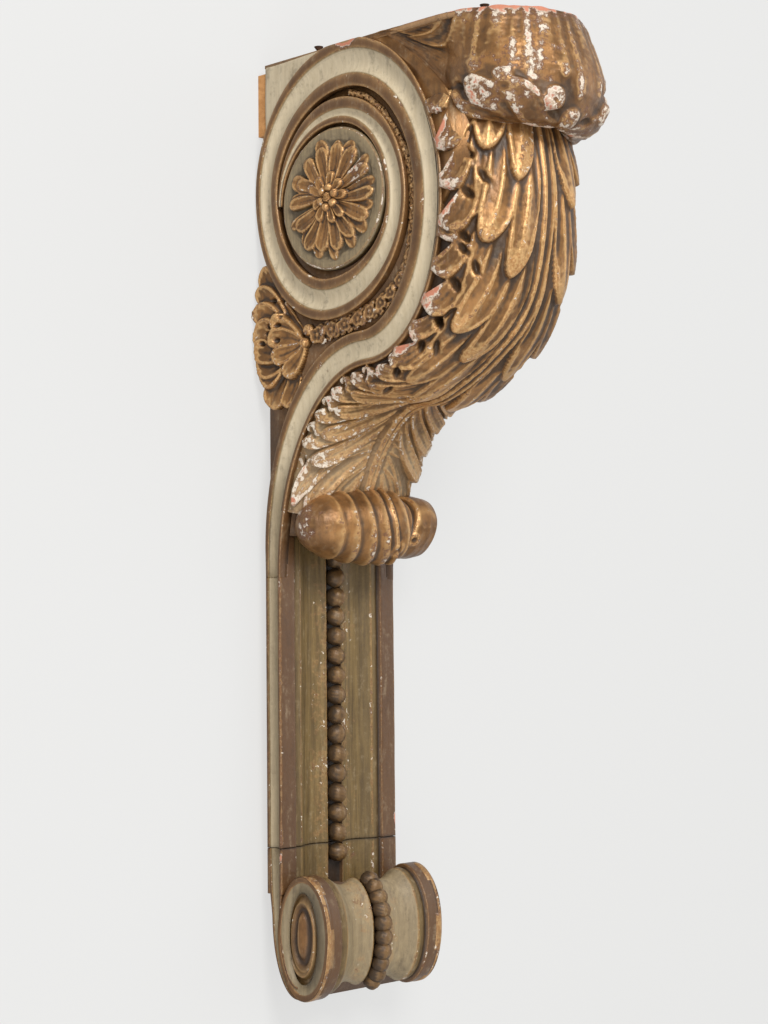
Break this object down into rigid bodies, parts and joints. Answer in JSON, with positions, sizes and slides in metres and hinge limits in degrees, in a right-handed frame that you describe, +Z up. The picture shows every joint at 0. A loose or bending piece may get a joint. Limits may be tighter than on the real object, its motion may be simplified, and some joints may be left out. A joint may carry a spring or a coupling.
{
  "type": "carved wooden console bracket",
  "caption": "Antique carved console bracket with side volutes, a front acanthus leaf, a beaded shaft and an oval foot scroll, painted and gilt.",
  "frame": {"origin": "middle of the batten's rear face, in the wall plane", "axes": "+Y out of the back into the wall, +Z up along the bracket, X across its width"},
  "size_m": [0.18, 0.3571, 0.904],
  "materials": {
    "painted_wood": "carved wood with worn grey-green and brown distemper and bronze gilding over gesso",
    "gilt_wood": "carved wood, bronze gilt, worn to brown in the hollows",
    "raw_wood": "sawn bare softwood",
    "iron": "dark rusted wrought iron"
  },
  "bodies": {
    "root": {"console": "painted_wood", "foot_scroll": "painted_wood", "rosette_left": "gilt_wood", "rosette_right": "gilt_wood", "back_batten": "raw_wood", "nail_rear": "iron", "nail_front": "iron"}
  },
  "joints": []
}
